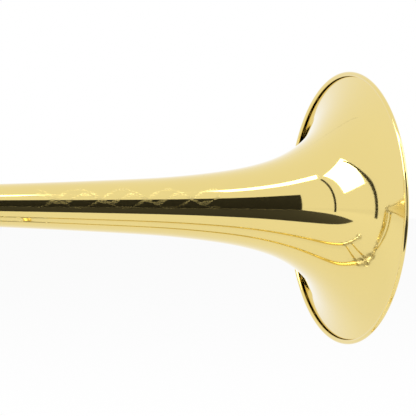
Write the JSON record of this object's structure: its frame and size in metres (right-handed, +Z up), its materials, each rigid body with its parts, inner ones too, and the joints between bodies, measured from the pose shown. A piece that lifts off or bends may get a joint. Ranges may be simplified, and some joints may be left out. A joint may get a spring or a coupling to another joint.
{
  "type": "tenor trombone",
  "caption": "Straight tenor trombone with a hand slide, a tuning slide with counterweight, a flared bell with rolled rim, and a mouthpiece.",
  "frame": {"origin": "centre of the bounding box's base, where the instrument rests", "axes": "+X forwards out of the bell, +Z up"},
  "size_m": [1.124, 0.218, 0.2846],
  "materials": {
    "lacquered_brass": "polished, clear lacquer",
    "nickel_silver": "polished nickel silver",
    "chromed_tube": "polished",
    "silver_plate": "silver plated",
    "steel": "satin",
    "cork": "cork, matt",
    "black_rubber": "matt"
  },
  "bodies": {
    "inner_slide": {"slide_tenon": "nickel_silver", "lower_inner_tube": "chromed_tube", "lower_cork_barrel": "nickel_silver", "lower_cork": "cork", "upper_inner_tube": "chromed_tube", "upper_cork_barrel": "nickel_silver", "upper_cork": "cork", "mouthpiece_receiver": "nickel_silver", "leadpipe": "lacquered_brass", "inner_brace_lower_foot": "nickel_silver", "inner_brace_upper_foot": "nickel_silver", "inner_brace": "lacquered_brass"},
    "bell_section": {"bell": "lacquered_brass", "rim_wire": "steel", "bell_tuning_sleeve": "nickel_silver", "neck_tuning_sleeve": "nickel_silver", "bell_ferrule": "nickel_silver", "neck_ferrule": "nickel_silver", "neckpipe": "lacquered_brass", "bell_receiver": "nickel_silver", "front_brace_bell_foot": "nickel_silver", "front_brace_neck_foot": "nickel_silver", "front_brace": "lacquered_brass", "rear_brace_bell_foot": "nickel_silver", "rear_brace_neck_foot": "nickel_silver", "rear_brace": "lacquered_brass"},
    "tuning_slide": {"tuning_crook": "lacquered_brass", "bell_tuning_leg": "nickel_silver", "bell_crook_ferrule": "nickel_silver", "neck_tuning_leg": "nickel_silver", "neck_crook_ferrule": "nickel_silver", "crook_bell_foot": "nickel_silver", "crook_neck_foot": "nickel_silver", "crook_brace": "lacquered_brass", "counterweight": "lacquered_brass", "counterweight_screw": "steel"},
    "outer_slide": {"outer_brace_lower_foot": "nickel_silver", "outer_brace_upper_foot": "nickel_silver", "outer_brace": "lacquered_brass", "lower_outer_tube": "lacquered_brass", "lower_outer_collar": "nickel_silver", "lower_bow_ferrule": "nickel_silver", "upper_outer_tube": "lacquered_brass", "upper_outer_collar": "nickel_silver", "upper_bow_ferrule": "nickel_silver", "slide_bow": "lacquered_brass", "bow_guard": "nickel_silver", "bumper_base": "nickel_silver", "rubber_bumper": "black_rubber", "water_key_nipple": "nickel_silver", "water_key_saddle": "nickel_silver", "water_key_pin": "steel", "water_key_spring": "steel"},
    "water_key": {"water_key_lever": "lacquered_brass", "water_key_cork": "cork"},
    "mouthpiece": {"mouthpiece": "silver_plate"},
    "slide_lock": {"slide_lock_ring": "nickel_silver"},
    "bell_nut": {"bell_lock_nut": "nickel_silver"}
  },
  "joints": [
    {"name": "hand_slide", "type": "slide", "parent": "inner_slide", "child": "outer_slide", "axis": [1, 0, -0.0065], "range_m": [0, 0.6]},
    {"name": "mouthpiece_pull", "type": "slide", "parent": "inner_slide", "child": "mouthpiece", "axis": [-1, 0, 0.0065], "range_m": [0, 0.05]},
    {"name": "slide_lock_turn", "type": "hinge", "parent": "inner_slide", "child": "slide_lock", "pos_m": [-0.26801, -0.00258, 0.01364], "axis": [-1, 0, 0.0065], "range_deg": [0, 22]},
    {"name": "bell_swivel", "type": "hinge", "parent": "inner_slide", "child": "bell_section", "pos_m": [-0.26801, -0.00258, 0.01364], "axis": [1, 0, -0.0065], "range_deg": [-30, 30]},
    {"name": "lock_nut_turn", "type": "hinge", "parent": "bell_section", "child": "bell_nut", "pos_m": [-0.26801, -0.00258, 0.01364], "axis": [1, 0, -0.0065], "continuous": true},
    {"name": "tuning_pull", "type": "slide", "parent": "bell_section", "child": "tuning_slide", "axis": [-1, 0, 0.0065], "range_m": [0, 0.05]},
    {"name": "water_key_tip", "type": "hinge", "parent": "outer_slide", "child": "water_key", "pos_m": [0.47897, 0.01029, 0.00803], "axis": [0.0065, 0.0588, 0.9982], "range_deg": [0, 15], "stiffness_Nm_per_rad": 0.05, "springref_deg": -20.05}
  ]
}
